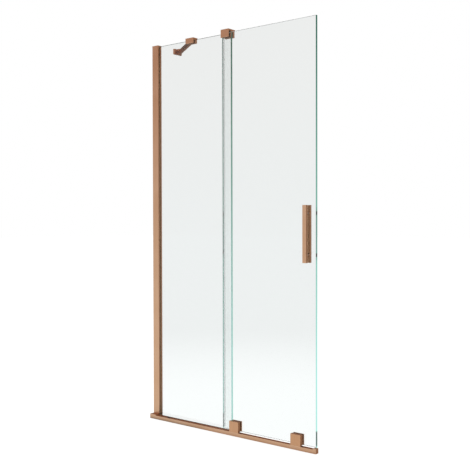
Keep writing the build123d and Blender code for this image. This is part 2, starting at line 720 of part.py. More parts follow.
# Support arm: a flat bar with a round-ended tongue at each pivot
arm_length = math.dist(arm_wall_pivot, arm_pane_pivot)
arm_run = (arm_pane_pivot[0] - arm_wall_pivot[0], arm_pane_pivot[1] - arm_wall_pivot[1])
arm_plane = Plane(
    origin=(*arm_wall_pivot, arm_bar_centre_z), x_dir=(*arm_run, 0), z_dir=(0, 0, 1)
)
with BuildPart() as support_arm:
    with BuildSketch(arm_plane):
        with Locations((arm_length / 2, 0)):
            SlotOverall(arm_length + 2 * arm_tongue_radius, 2 * arm_tongue_radius)
    extrude(amount=arm_tongue_height / 2, both=True)
    with BuildSketch(arm_plane):
        with Locations(((arm_length + arm_tongue_at_wall - arm_tongue_at_pane) / 2, 0)):
            Rectangle(arm_length - arm_tongue_at_wall - arm_tongue_at_pane, arm_bar_thickness)
    extrude(amount=arm_bar_height / 2, both=True)
    long_edges = support_arm.edges().filter_by(
        lambda edge: abs(abs(edge.center().Z - arm_bar_centre_z) - arm_bar_height / 2) < same_place
    )
    fillet(long_edges, edge_break)
    with BuildSketch(arm_plane):
        with Locations((0, 0), (arm_length, 0)):
            Circle(arm_pin_radius + axle_clearance)
    extrude(amount=arm_bar_height, both=True, mode=Mode.SUBTRACT)
save(support_arm, "support_arm")

# Upright pivot pins, one at each end of the arm
with BuildPart() as arm_pivot_pins:
    with BuildSketch(Plane.XY.offset(arm_plate_z[0] + edge_break)):
        with Locations(arm_wall_pivot):
            Circle(arm_pin_radius)
    extrude(amount=arm_plate_height - 2 * edge_break)
    with BuildSketch(Plane.XY.offset(arm_clamp_z[0] + edge_break)):
        with Locations(arm_pane_pivot):
            Circle(arm_pin_radius)
    extrude(amount=arm_clamp_height - 2 * edge_break)
save(arm_pivot_pins, "arm_pivot_pins")

# Handle bars, one on each face of the sliding pane
handle_z = (handle_centre_z - handle_height / 2, handle_centre_z + handle_height / 2)
with BuildPart() as handle_front_bar:
    block(handle_span, (handle_front_outer, handle_front_inner), handle_z)
    fillet(handle_front_bar.edges(), edge_break)
    for height in handle_fixing_heights:
        with Locations(facing_back(handle_x, handle_front_inner, height)):
            Cylinder(handle_screw_radius, 2 * handle_thread_depth, mode=Mode.SUBTRACT)
save(handle_front_bar, "handle_front_bar")

with BuildPart() as handle_rear_bar:
    block(handle_span, (handle_rear_inner, handle_rear_outer), handle_z)
    fillet(handle_rear_bar.edges(), edge_break)
    for height in handle_fixing_heights:
        with Locations(facing_back(handle_x, handle_rear_outer, height)):
            CounterBoreHole(
                handle_screw_radius + seat_gap, handle_head_radius + seat_gap, handle_head_height
            )
save(handle_rear_bar, "handle_rear_bar")

# Collars, washers and screws of the handle
collar_starts = (handle_front_inner, handle_rear_inner - handle_collar_height)
washer_starts = (sliding_front - handle_washer_height, sliding_back)
spacers = (
    ("handle_collars", collar_starts, handle_collar_height, handle_collar_radius),
    ("handle_washers", washer_starts, handle_washer_height, handle_collar_radius + edge_break),
)
for name, starts, spacer_height, spacer_radius in spacers:
    with BuildPart() as handle_spacers:
        for start in starts:
            for height in handle_fixing_heights:
                with BuildSketch(facing_back(handle_x, start, height)):
                    Circle(spacer_radius)
                    Circle(handle_screw_radius + seat_gap, mode=Mode.SUBTRACT)
                extrude(amount=spacer_height)
    save(handle_spacers, name)

with BuildPart() as handle_screws:
    head_seat = handle_rear_outer - handle_head_height
    screw_tip = handle_front_inner - handle_thread_depth + thread_end_gap
    for height in handle_fixing_heights:
        with BuildSketch(facing_back(handle_x, screw_tip, height)):
            Circle(handle_screw_radius)
        extrude(amount=head_seat - screw_tip)
        with BuildSketch(facing_back(handle_x, head_seat, height)):
            Circle(handle_head_radius)
            RegularPolygon(handle_screw_radius, 6, mode=Mode.SUBTRACT)
        extrude(amount=handle_head_height - edge_break)
save(handle_screws, "handle_screws")
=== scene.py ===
"""Looks of a sliding bath screen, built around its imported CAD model.

The frame has +Z up, the wall at X = 0, the bath rim at Z = 0, the middle of the fixed pane
at Y = 0, and the bather on the +Y side. Every size is in metres.
"""

import logging
import math
from dataclasses import dataclass
from enum import Enum
from typing import Any, Callable, Iterable, Optional, Union

import bpy
from mathutils import Matrix, Vector

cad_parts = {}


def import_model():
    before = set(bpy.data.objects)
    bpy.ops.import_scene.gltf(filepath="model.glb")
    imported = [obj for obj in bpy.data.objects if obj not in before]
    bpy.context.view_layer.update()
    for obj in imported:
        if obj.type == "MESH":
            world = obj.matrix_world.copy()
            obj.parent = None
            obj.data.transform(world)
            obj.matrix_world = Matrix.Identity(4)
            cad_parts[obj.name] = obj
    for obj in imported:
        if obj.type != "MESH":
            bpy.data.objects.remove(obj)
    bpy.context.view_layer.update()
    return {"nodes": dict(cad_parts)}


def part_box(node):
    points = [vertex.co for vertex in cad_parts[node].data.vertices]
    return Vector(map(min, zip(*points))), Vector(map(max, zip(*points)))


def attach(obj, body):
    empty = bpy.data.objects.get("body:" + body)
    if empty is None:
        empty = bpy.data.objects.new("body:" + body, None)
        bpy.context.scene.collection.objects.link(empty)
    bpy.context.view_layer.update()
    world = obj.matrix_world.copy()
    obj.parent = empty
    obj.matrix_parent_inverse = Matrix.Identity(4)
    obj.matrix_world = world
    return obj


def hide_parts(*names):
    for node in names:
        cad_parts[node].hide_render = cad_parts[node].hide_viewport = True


LOG = logging.getLogger("bath_screen")
FACING = 0.9  # a face looks along an axis when its normal has at least this part along it
ROD_SIDES = 48

Colour = tuple[float, float, float]
Point = tuple[float, float, float]
Span = tuple[float, float]
FaceTest = Callable[[Vector, Vector], bool]


class Axis(Enum):
    """A frame axis, by its place in a vector."""

    X = 0
    Y = 1
    Z = 2


class Signal:
    """A shader socket that can be used in Python arithmetic."""

    def __init__(self, graph: "Graph", socket: bpy.types.NodeSocket) -> None:
        """Wrap a socket.

        Args:
            graph: The graph that the socket's node is in.
            socket: The output socket.
        """
        self.graph = graph
        self.socket = socket

    def __add__(self, other: "Number") -> "Signal":
        """Add a value."""
        return self.graph.maths("ADD", self, other)

    __radd__ = __add__

    def __sub__(self, other: "Number") -> "Signal":
        """Subtract a value."""
        return self.graph.maths("SUBTRACT", self, other)

    def __rsub__(self, other: "Number") -> "Signal":
        """Subtract this signal from a value."""
        return self.graph.maths("SUBTRACT", other, self)

    def __mul__(self, other: "Number") -> "Signal":
        """Multiply by a value."""
        return self.graph.maths("MULTIPLY", self, other)

    __rmul__ = __mul__

    def __truediv__(self, other: "Number") -> "Signal":
        """Divide by a value."""
        return self.graph.maths("DIVIDE", self, other)

    def __abs__(self) -> "Signal":
        """The size without its sign."""
        return self.graph.maths("ABSOLUTE", self)

    def least(self, other: "Number") -> "Signal":
        """The smaller of this and another value."""
        return self.graph.maths("MINIMUM", self, other)

    def most(self, other: "Number") -> "Signal":
        """The larger of this and another value."""
        return self.graph.maths("MAXIMUM", self, other)

    def rise(self, low: float, high: float) -> "Signal":
        """A smooth step from 0 to 1.

        Args:
            low: The value where the step starts.
            high: The value where it is complete.

        Returns:
            The step as a signal.
        """
        node = self.graph.node(
            "ShaderNodeMapRange",
            {"interpolation_type": "SMOOTHSTEP"},
            {"Value": self, "From Min": low, "From Max": high},
        )
        return Signal(self.graph, node.outputs["Result"])

    def fall(self, low: float, high: float) -> "Signal":
        """A smooth step from 1 to 0 between two values."""
        return 1.0 - self.rise(low, high)


Number = Union[float, Signal]


class Graph:
    """A node tree that is filled in with short calls."""

    def __init__(self, owner: Union[bpy.types.Material, bpy.types.World]) -> None:
        """Clear the owner's node tree.

        Args:
            owner: The material or world whose nodes are made.
        """
        owner.use_nodes = True
        self.tree = owner.node_tree
        self.tree.nodes.clear()

    def node(
        self,
        kind: str,
        settings: Optional[dict[str, Any]] = None,
        inputs: Optional[dict[Union[str, int], Any]] = None,
    ) -> bpy.types.Node:
        """Add a node.

        Args:
            kind: The node's type.
            settings: Its settings, which are set first. A ramp's stops are pairs of a
                place and a colour.
            inputs: The values or links of its sockets.

        Returns:
            The new node.
        """
        made = self.tree.nodes.new(kind)
        for name, value in (settings or {}).items():
            if name == "stops":
                for number, (place, colour) in enumerate(value):
                    ramp = made.color_ramp.elements
                    stop = ramp[number] if number < len(ramp) else ramp.new(place)
                    stop.position = place
                    stop.color = (*colour, 1.0)
            else:
                setattr(made, name, value)
        for name, value in (inputs or {}).items():
            socket = made.inputs[name]
            if isinstance(value, Signal):
                self.tree.links.new(value.socket, socket)
            elif isinstance(value, tuple) and len(value) == 3 and socket.type == "RGBA":
                socket.default_value = (*value, 1.0)
            else:
                socket.default_value = value
        return made

    def out(self, kind: str, output: str, settings: Any = None, inputs: Any = None) -> Signal:
        """Add a node and take one of its outputs as a signal."""
        return Signal(self, self.node(kind, settings, inputs).outputs[output])

    def maths(self, operation: str, first: Number, second: Number = 0.0) -> Signal:
        """Add a Math node."""
        settings = {"operation": operation}
        return self.out("ShaderNodeMath", "Value", settings, {0: first, 1: second})

    def place(self) -> Signal:
        """The point on the piece in its own frame."""
        return self.out("ShaderNodeTexCoord", "Object")

    def split(self, vector: Signal) -> tuple[Signal, Signal, Signal]:
        """The three parts of a vector."""
        node = self.node("ShaderNodeSeparateXYZ", None, {"Vector": vector})
        return tuple(Signal(self, node.outputs[axis.name]) for axis in Axis)

    def turned(self, vector: Signal, centre: Point, angle: float) -> Signal:
        """A vector turned about the upright axis through a point."""
        inputs = {"Vector": vector, "Center": centre, "Angle": -angle}
        return self.out("ShaderNodeVectorRotate", "Vector", None, inputs)

    def stretched(self, vector: Signal, scale: Point) -> Signal:
        """A vector with each part multiplied by its own number."""
        inputs = {0: vector, 1: scale}
        return self.out("ShaderNodeVectorMath", "Vector", {"operation": "MULTIPLY"}, inputs)

    def noise(self, vector: Signal, scale: float, detail: float = 2.0) -> Signal:
        """Smooth random values about 0.5."""
        inputs = {"Vector": vector, "Scale": scale, "Detail": detail}
        return self.out("ShaderNodeTexNoise", "Fac", {"noise_dimensions": "3D"}, inputs)

    def blend(self, factor: Number, first: Any, second: Any) -> Signal:
        """Mix two colours.

        Args:
            factor: 0 gives the first colour, and 1 gives the second.
            first: A colour or a signal.
            second: A colour or a signal.

        Returns:
            The mixed colour.
        """
        settings = {"data_type": "RGBA"}
        inputs = {0: factor, 6: first, 7: second}
        return Signal(self, self.node("ShaderNodeMix", settings, inputs).outputs[2])

    def bump(self, height: Signal, depth: float) -> Signal:
        """A normal that follows a height.

        Args:
            height: The height, from 0 to 1.
            depth: How far 1 stands above 0.

        Returns:
            The normal.
        """
        return self.out("ShaderNodeBump", "Normal", None, {"Height": height, "Distance": depth})

    def principled(self, inputs: dict[str, Any]) -> Signal:
        """A Principled shader."""
        return self.out("ShaderNodeBsdfPrincipled", "BSDF", None, inputs)

    def mixed(self, factor: Number, first: Signal, second: Signal) -> Signal:
        """Mix two shaders."""
        inputs = {0: factor, 1: first, 2: second}
        return self.out("ShaderNodeMixShader", "Shader", None, inputs)

    def ray(self, kind: str) -> Signal:
        """1 on a ray of the named kind, otherwise 0."""
        return self.out("ShaderNodeLightPath", f"Is {kind} Ray")

    def mirrored(self) -> Signal:
        """1 once a ray has been mirrored by metal, glass or plastic, otherwise 0."""
        bounces = self.out("ShaderNodeLightPath", "Glossy Depth")
        return self.maths("GREATER_THAN", bounces, 0.5)

    def finish(self, shader: Signal, output: str = "ShaderNodeOutputMaterial") -> None:
        """Link the last shader to the output."""
        self.node(output, None, {"Surface": shader})


@dataclass(frozen=True)
class Box:
    """The space that a CAD node takes up."""

    low: Vector
    high: Vector

    @classmethod
    def of(cls, node: str) -> "Box":
        """The box of a CAD node by name."""
        low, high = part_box(node)
        return cls(low, high)

    @property
    def centre(self) -> Vector:
        """The middle of the box."""
        return (self.low + self.high) / 2

    @property
    def half(self) -> Vector:
        """Half of the box's size."""
        return (self.high - self.low) / 2


class Workpiece:
    """A new mesh, shaped with Blender's modelling operators and left at the origin."""

    def __init__(self, name: str, low: Iterable[float], high: Iterable[float]) -> None:
        """Start from a block.

        Args:
            name: The name of the piece.
            low: The block's lowest corner.
            high: Its highest corner.
        """
        low, high = Vector(low), Vector(high)
        bpy.ops.object.select_all(action="DESELECT")
        bpy.ops.mesh.primitive_cube_add(size=1.0, location=(low + high) / 2)
        self.adopt(name, high - low)

    @classmethod
    def rod(cls, name: str, centre: Vector, radius: float, length: float) -> "Workpiece":
        """Start from a rod along Y instead of a block.

        Args:
            name: The name of the piece.
            centre: The rod's middle.
            radius: Its radius.
            length: Its length.

        Returns:
            The new workpiece.
        """
        made = cls.__new__(cls)
        bpy.ops.object.select_all(action="DESELECT")
        bpy.ops.mesh.primitive_cylinder_add(
            vertices=ROD_SIDES,
            radius=radius,
            depth=length,
            location=centre,
            rotation=(math.pi / 2, 0.0, 0.0),
        )
        made.adopt(name, Vector((1.0, 1.0, 1.0)))
        return made

    def adopt(self, name: str, scale: Vector) -> None:
        """Name the newest object and move its place and size into its mesh.

        Args:
            name: The name of the object and its mesh.
            scale: The object's scale.
        """
        self.piece = bpy.context.object
        self.piece.name = name
        self.piece.data.name = name
        self.piece.scale = scale
        bpy.ops.object.transform_apply(location=True, rotation=True, scale=True)

    def pick(self, test: FaceTest) -> Vector:
        """Go to edit mode with some faces selected.

        Args:
            test: Says from a face's centre and normal whether it is selected.

        Returns:
            The middle of the selected faces' centres.
        """
        self.activate()
        bpy.ops.object.mode_set(mode="EDIT")
        bpy.ops.mesh.select_mode(type="FACE")
        bpy.ops.mesh.select_all(action="DESELECT")
        bpy.ops.object.mode_set(mode="OBJECT")
        centres = []
        for face in self.piece.data.polygons:
            if test(face.center, face.normal):
                face.select = True
                centres.append(face.center.copy())
        if not centres:
            raise ValueError(f"no face of {self.piece.name} passes the test")
        bpy.ops.object.mode_set(mode="EDIT")
        return sum(centres, Vector()) / len(centres)

    def cut(self, axis: Axis, *places: float) -> None:
        """Cut all the faces by planes square to an axis.

        Args:
            axis: The axis.
            places: Where the planes cross it.
        """
        normal = [0.0, 0.0, 0.0]
        normal[axis.value] = 1.0
        for place in places:
            self.pick(lambda centre, normal: True)
            point = [part * place for part in normal]
            bpy.ops.mesh.bisect(plane_co=point, plane_no=normal)
            self.leave()

    def pull(self, test: FaceTest, offset: Point, shrink: Point = (1.0, 1.0, 1.0)) -> None:
        """Extrude some faces.

        Args:
            test: Says which faces, as in pick.
            offset: How far they go.
            shrink: Their new size as a share of the old.
        """
        centre = self.pick(test) + Vector(offset)
        bpy.ops.mesh.extrude_region_move(TRANSFORM_OT_translate={"value": offset})
        bpy.ops.transform.resize(value=shrink, center_override=tuple(centre))
        self.leave()

    def dent(self, test: FaceTest, border: float, depth: float) -> None:
        """Sink the middle of some faces.

        Args:
            test: Says which faces, as in pick.
            border: The width that stays round each.
            depth: How far the middle sinks.
        """
        self.pick(test)
        bpy.ops.mesh.inset(thickness=border, depth=0.0, use_individual=True)
        bpy.ops.mesh.inset(thickness=depth, depth=-depth, use_individual=True)
        self.leave()

    def pierce(self, border: float) -> None:
        """Open a hole through a rod, leaving a ring of the given width."""
        self.pick(lambda centre, normal: abs(normal.y) > FACING)
        bpy.ops.mesh.inset(thickness=border, depth=0.0)
        bpy.ops.mesh.bridge_edge_loops()
        self.leave()

    def drill(self, centre: Vector, radius: float, length: float) -> None:
        """Cut a round hole along Y.

        Args:
            centre: The middle of the hole.
            radius: Its radius.
            length: The length of the drill bit, which reaches past both faces.
        """
        bit = Workpiece.rod("drill_bit", centre, radius, length)
        self.activate()
        hole = self.piece.modifiers.new("hole", "BOOLEAN")
        hole.operation = "DIFFERENCE"
        hole.object = bit.piece
        bpy.ops.object.modifier_apply(modifier=hole.name)
        bpy.data.objects.remove(bit.piece, do_unlink=True)

    def soften(self, width: float, segments: int = 2, angle: float = 30.0) -> None:
        """Round the edges and shade the rest smooth.

        Args:
            width: The width of the rounding.
            segments: The number of faces across it.
            angle: The least angle in degrees between faces whose edge is rounded.
        """
        self.activate()
        bevel = self.piece.modifiers.new("soft_edges", "BEVEL")
        bevel.width = width
        bevel.segments = segments
        bevel.limit_method = "ANGLE"
        bevel.angle_limit = math.radians(angle)
        bpy.ops.object.modifier_apply(modifier=bevel.name)
        bpy.ops.object.shade_smooth_by_angle(angle=math.radians(angle))

    def join(self, others: Iterable["Workpiece"]) -> None:
        """Take other pieces into this one's mesh."""
        self.activate()
        for other in others:
            other.piece.select_set(True)
        bpy.ops.object.join()

    def activate(self) -> None:
        """Make this the only selected object."""
        bpy.ops.object.select_all(action="DESELECT")
        self.piece.select_set(True)
        bpy.context.view_layer.objects.active = self.piece

    def leave(self) -> None:
        """Go back to object mode."""
        bpy.ops.object.mode_set(mode="OBJECT")

    def stand_for(self, node: str, body: str, slot: str, finish: "Finish") -> None:
        """Take a CAD node's place.

        Args:
            node: The node that it replaces.
            body: The body that it moves with.
            slot: The record's material slot; not used.
            finish: Its finish.
        """
        finish.dress(self.piece, Box.of(node))
        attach(self.piece, body)
        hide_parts(node)


class Finish:
    """A surface finish, which makes one material for each piece that it dresses."""

    def surface(self, graph: Graph, box: Box) -> Signal:
        """The shader of a piece.

        Args:
            graph: The material's graph.
            box: The space that the piece takes up.

        Returns:
            The shader.
        """
        raise NotImplementedError

    def dress(self, piece: bpy.types.Object, box: Box) -> None:
        """Give a piece its own material of this finish.

        Args:
            piece: The object to dress.
            box: The space that it takes up.
        """
        material = bpy.data.materials.new(f"{type(self).__name__}_{piece.name}")
        graph = Graph(material)
        graph.finish(self.surface(graph, box))
        piece.data.materials.clear()
        piece.data.materials.append(material)


def edge_nearness(graph: Graph, place: Signal, box: Box, width: float) -> Signal:
    """How near a point on a box lies to the box's nearest edge.

    The distances to the three pairs of sides are sorted, and the middle one is the
    distance to an edge.

    Args:
        graph: The material's graph.
        place: The point on the piece.
        box: The piece's box.
        width: The width of the band along an edge.

    Returns:
        1 on the edge and 0 beyond the band.
    """
    parts = graph.split(place)
    depth = [half - abs(part - middle) for part, middle, half in zip(parts, box.centre, box.half)]
    low = depth[0].least(depth[1])
    high = depth[0].most(depth[1])
    middle_one = low.most(high.least(depth[2]))
    return middle_one.fall(0.0, width)


@dataclass(frozen=True)
class BrushedCopper(Finish):
    """Copper-coloured plate with fine brush lines along one axis, lighter on its edges."""

    brush: Axis
    turn: float = 0.0
    # a power above 1 paints shade: a darker, redder copy of the copper
    depth: float = 1.0
    colour: Colour = (0.665, 0.418, 0.26)
    dark_line: Colour = (0.583, 0.358, 0.218)
    worn: Colour = (0.80, 0.56, 0.40)
    roughness: float = 0.36
    roughness_spread: float = 0.14
    lines_per_metre: float = 2600.0
    broad_lines_per_metre: float = 420.0
    line_stretch: float = 0.012
    line_depth: float = 0.000012
    line_edges: Span = (0.3, 0.7)
    fine_detail: float = 3.0
    fine_share: float = 0.6
    cloud_scale: float = 9.0
    cloud_edges: Span = (0.35, 0.75)
    cloud_share: float = 0.25
    edge_width: float = 0.0011
    edge_wear: float = 0.35
    edge_wear_spread: float = 0.5
    edge_polish: float = 0.06

    def toned(self, colour: Colour) -> Colour:
        """A colour taken to the finish's depth, a power: above 1 it paints shade, giving a darker,
        redder copy of the copper.
        """
        return tuple(part**self.depth for part in colour)

    def surface(self, graph: Graph, box: Box) -> Signal:
        """The brushed metal."""
        colour, dark_line, worn = map(self.toned, (self.colour, self.dark_line, self.worn))
        place = graph.place()
        aligned = graph.turned(place, tuple(box.centre), self.turn)
        along = [1.0, 1.0, 1.0]
        along[self.brush.value] = self.line_stretch
        drawn = graph.stretched(aligned, tuple(along))
        fine = graph.noise(drawn, self.lines_per_metre, self.fine_detail)
        broad = graph.noise(drawn, self.broad_lines_per_metre)
        cloud = graph.noise(place, self.cloud_scale)
        lines = fine * self.fine_share + broad * (1.0 - self.fine_share)
        plate = graph.blend(lines.rise(*self.line_edges), dark_line, colour)
        clouded = graph.blend(cloud.rise(*self.cloud_edges) * self.cloud_share, plate, worn)
        edge = edge_nearness(graph, place, box, self.edge_width)
        wear = edge * (self.edge_wear + broad * self.edge_wear_spread)
        base = graph.blend(wear, clouded, worn)
        rough = self.roughness + (lines - 0.5) * self.roughness_spread - edge * self.edge_polish
        return graph.principled(
            {
                "Base Color": base,
                "Metallic": 1.0,
                "Roughness": rough,
                "Normal": graph.bump(lines, self.line_depth),
            }
        )


@dataclass(frozen=True)
class PaintedEdgeShade:
    """A stretch of a pane's upright edge with painted shade, the fitting clamped beside it painted
    on as a dark reflection in the edge.
    """

    height: float
    reach: float
    share: float


@dataclass(frozen=True)
class ClearGlass(Finish):
    """Toughened glass whose upright ground edges are sea green, with painted light (lighter at the
    foot, darker at the top), a painted glow and painted shade beside fittings.
    """

    painted_edge_shades: tuple[PaintedEdgeShade, ...] = ()
    tint: Colour = (0.905, 0.935, 0.93)
    lamp_tint: Colour = (0.93, 0.95, 0.945)
    # painted light: the edge's green is lighter at the foot and darker at the head
    edge_foot: Colour = (0.33, 0.64, 0.58)
    edge_middle: Colour = (0.14, 0.33, 0.266)
    edge_head: Colour = (0.023, 0.108, 0.077)
    edge_heights: Point = (0.25, 0.87, 1.45)
    full_height: float = 1.5
    # painted glow: the ground edge gives out its own light, though it is no lamp
    painted_edge_glow: float = 0.4
    edge_roughness: float = 0.3
    edge_specular: float = 0.2
    edge_width: float = 0.0013
    edge_fade: float = 1.3
    # painted shade beside fittings: its colour and the share of its reach that is fully dark
    painted_shade_colour: Colour = (0.035, 0.045, 0.04)
    painted_shade_core: float = 0.7
    grind_scale: float = 900.0
    grind_stretch: float = 0.2
    grind_spread: float = 0.2
    grind_depth: float = 0.00002
    refraction: float = 1.5

    def surface(self, graph: Graph, box: Box) -> Signal:
        """Clear faces and green edges."""
        place = graph.place()
        x, _, z = graph.split(place)
        inner = box.half.x - abs(x - box.centre.x)
        edge = inner.fall(self.edge_width, self.edge_width * self.edge_fade)
        pane = graph.principled(
            {
                "Base Color": self.tint,
                "Roughness": 0.0,
                "IOR": self.refraction,
                "Transmission Weight": 1.0,
            }
        )
        drawn = graph.stretched(place, (1.0, 1.0, self.grind_stretch))
        grind = graph.noise(drawn, self.grind_scale)
        green = self.edge_green_and_painted_light(graph, z)
        ground = graph.principled(
            {
                "Base Color": green,
                "Roughness": self.edge_roughness + grind * self.grind_spread,
                "IOR": self.refraction,
                "Specular IOR Level": self.edge_specular,
                # painted glow: the edge emits its own green light
                "Emission Color": green,
                "Emission Strength": self.painted_edge_glow,
                "Normal": graph.bump(grind, self.grind_depth),
            }
        )
        solid = graph.mixed(edge, pane, ground)
        lamp = graph.out("ShaderNodeBsdfTransparent", "BSDF", None, {"Color": self.lamp_tint})
        return graph.mixed(graph.ray("Shadow"), solid, lamp)

    def edge_green_and_painted_light(self, graph: Graph, z: Signal) -> Signal:
        """The green of an upright edge, with painted light by height: lighter at the foot, darker at
        the head.

        The edge's light is painted: it stands for light that has run along the inside of the pane,
        and painted shade dims it where a fitting is clamped to the glass beside it.

        Args:
            graph: The material's graph.
            z: The height on the pane.

        Returns:
            The colour.
        """
        # painted light: a green ramp by height, lighter at the foot and darker at the head
        colours = (self.edge_foot, self.edge_middle, self.edge_head)
        places = (height / self.full_height for height in self.edge_heights)
        stops = list(zip(places, colours))
        share = z * (1.0 / self.full_height)
        green = graph.out("ShaderNodeValToRGB", "Color", {"stops": stops}, {"Fac": share})
        # painted shade: the fittings' dark reflections, painted on the edge
        for spot in self.painted_edge_shades:
            near = abs(z - spot.height).fall(spot.reach * self.painted_shade_core, spot.reach)
            green = graph.blend(near * spot.share, green, self.painted_shade_colour)
        return green


@dataclass(frozen=True)
class ClearPlastic(Finish):
    """Flexible strip, clear and a little smoky, thin enough to let most light straight through."""

    colour: Colour = (0.34, 0.35, 0.35)
    line_colour: Colour = (0.27, 0.28, 0.28)
    cover: float = 0.095
    roughness: float = 0.2
    roughness_spread: float = 0.15
    lines_per_metre: float = 1800.0
    line_stretch: float = 0.01
    line_depth: float = 0.00002
    refraction: float = 1.46

    def surface(self, graph: Graph, box: Box) -> Signal:
        """The strip with faint drawn lines along its length."""
        place = graph.place()
        drawn = graph.stretched(place, (1.0, 1.0, self.line_stretch))
        lines = graph.noise(drawn, self.lines_per_metre)
        return graph.principled(
            {
                "Base Color": graph.blend(lines, self.colour, self.line_colour),
                "Roughness": self.roughness + lines * self.roughness_spread,
                "IOR": self.refraction,
                "Alpha": self.cover,
                "Normal": graph.bump(lines, self.line_depth),
            }
        )


@dataclass(frozen=True)
class Rubber(Finish):
    """Dull moulded rubber with a fine grain."""

    colour: Colour = (0.022, 0.02, 0.019)
    bloom: Colour = (0.07, 0.066, 0.062)
    grain_scale: float = 2200.0
    grain_depth: float = 0.00003
    patch_scale: float = 60.0
    patch_edges: Span = (0.45, 0.8)
    patch_share: float = 0.6
    roughness: float = 0.62
    roughness_spread: float = 0.2

    def surface(self, graph: Graph, box: Box) -> Signal:
        """The rubber with a pale bloom in patches."""
        place = graph.place()
        grain = graph.noise(place, self.grain_scale)
        patch = graph.noise(place, self.patch_scale).rise(*self.patch_edges)
        return graph.principled(
            {
                "Base Color": graph.blend(patch * self.patch_share, self.colour, self.bloom),
                "Roughness": self.roughness + grain * self.roughness_spread,
                "Normal": graph.bump(grain, self.grain_depth),
            }
        )


@dataclass(frozen=True)
class Nylon(Finish):
    """Moulded or turned nylon."""

    colour: Colour = (0.74, 0.72, 0.66)
    scuffed: Colour = (0.52, 0.50, 0.46)
    grain_scale: float = 1500.0
    grain_depth: float = 0.00002
    scuff_scale: float = 260.0
    scuff_edges: Span = (0.5, 0.72)
    scuff_share: float = 0.5
    roughness: float = 0.36
    roughness_spread: float = 0.22

    def surface(self, graph: Graph, box: Box) -> Signal:
        """The nylon with scuffs from running."""
        place = graph.place()
        grain = graph.noise(place, self.grain_scale)
        scuff = graph.noise(place, self.scuff_scale).rise(*self.scuff_edges)
        return graph.principled(
            {
                "Base Color": graph.blend(scuff * self.scuff_share, self.colour, self.scuffed),
                "Roughness": self.roughness + grain * self.roughness_spread,
                "Normal": graph.bump(grain, self.grain_depth),
            }
        )


@dataclass(frozen=True)
class TurnedSteel(Finish):
    """Stainless steel with the fine rings of turning."""

    colour: Colour = (0.56, 0.55, 0.53)
    stained: Colour = (0.36, 0.34, 0.32)
    roughness: float = 0.28
    roughness_spread: float = 0.18
    ring_scale: float = 900.0
    ring_stretch: Point = (1.0, 6.0, 1.0)
    ring_depth: float = 0.000008
    stain_scale: float = 180.0
    stain_edges: Span = (0.5, 0.85)
    stain_share: float = 0.5

    def surface(self, graph: Graph, box: Box) -> Signal:
        """The steel."""
        place = graph.place()
        rings = graph.noise(graph.stretched(place, self.ring_stretch), self.ring_scale)
        stain = graph.noise(place, self.stain_scale).rise(*self.stain_edges)
        return graph.principled(
            {
                "Base Color": graph.blend(stain * self.stain_share, self.colour, self.stained),
                "Metallic": 1.0,
                "Roughness": self.roughness + rings * self.roughness_spread,
                "Normal": graph.bump(rings, self.ring_depth),
            }
        )


@dataclass(frozen=True)
class MillAluminium(Finish):
    """Extruded aluminium as it leaves the press, with die lines along its length."""

    colour: Colour = (0.62, 0.63, 0.64)
    dull: Colour = (0.45, 0.46, 0.47)
    lines_per_metre: float = 1500.0
    line_stretch: float = 0.006
    line_edges: Span = (0.35, 0.7)
    line_depth: float = 0.00001
    roughness: float = 0.38
    roughness_spread: float = 0.16

    def surface(self, graph: Graph, box: Box) -> Signal:
        """The aluminium."""
        place = graph.place()
        drawn = graph.stretched(place, (1.0, 1.0, self.line_stretch))
        lines = graph.noise(drawn, self.lines_per_metre)
        return graph.principled(
            {
                "Base Color": graph.blend(lines.rise(*self.line_edges), self.dull, self.colour),
                "Metallic": 1.0,
                "Roughness": self.roughness + lines * self.roughness_spread,
                "Normal": graph.bump(lines, self.line_depth),
            }
        )


COPPER_UPRIGHT = BrushedCopper(Axis.Z)
COPPER_LENGTHWAYS = BrushedCopper(Axis.X)
# painted shade: the carriage housings get a darker, redder copy of the copper
CARRIAGE_COPPER_PAINTED_SHADE = BrushedCopper(Axis.Z, depth=1.22)
# painted shade: the wall plate and the arm's bar get a darker, redder copy of the copper
PLATE_COPPER_PAINTED_SHADE = BrushedCopper(Axis.Z, depth=1.4)
GLASS = ClearGlass()
# painted shade on the sliding pane's edges beside the handle, its screws and the carriage
BESIDE_HANDLE = PaintedEdgeShade(0.7525, 0.102, 0.4)
AT_UPPER_SCREW = PaintedEdgeShade(0.8245, 0.007, 0.9)
AT_LOWER_SCREW = PaintedEdgeShade(0.6805, 0.007, 0.9)
BESIDE_CARRIAGE = PaintedEdgeShade(0.049, 0.03, 0.85)
SLIDING_GLASS = ClearGlass((BESIDE_HANDLE, AT_UPPER_SCREW, AT_LOWER_SCREW, BESIDE_CARRIAGE))
SEAL_PLASTIC = ClearPlastic()
BLACK_RUBBER = Rubber()
BROWN_RUBBER = Rubber((0.36, 0.185, 0.105), (0.42, 0.235, 0.145))
WHITE_NYLON = Nylon()
DARK_NYLON = Nylon((0.05, 0.046, 0.043), (0.12, 0.11, 0.10))
STEEL = TurnedSteel()
BEARING_STEEL = TurnedSteel((0.66, 0.66, 0.67), (0.5, 0.5, 0.5), 0.16)
ALUMINIUM = MillAluminium()


@dataclass
class Assembly:
    """A group of pieces: CAD nodes that are dressed, and modelled pieces in place of soft ones."""

    nodes: dict[str, bpy.types.Object]

    def finishes(self) -> dict[str, Finish]:
        """The finish of each CAD node that stays in view."""
        raise NotImplementedError

    def dress(self) -> list[str]:
        """Give every node of the group its finish.

        Returns:
            The names of the nodes dressed.
        """
        table = self.finishes()
        for name, finish in table.items():
            finish.dress(self.nodes[name], Box.of(name))
        return list(table)

    def model(self) -> list[str]:
        """Model the pieces that stand for the group's soft CAD nodes.

        Returns:
            The names of the nodes that they stand for.
        """
        return []


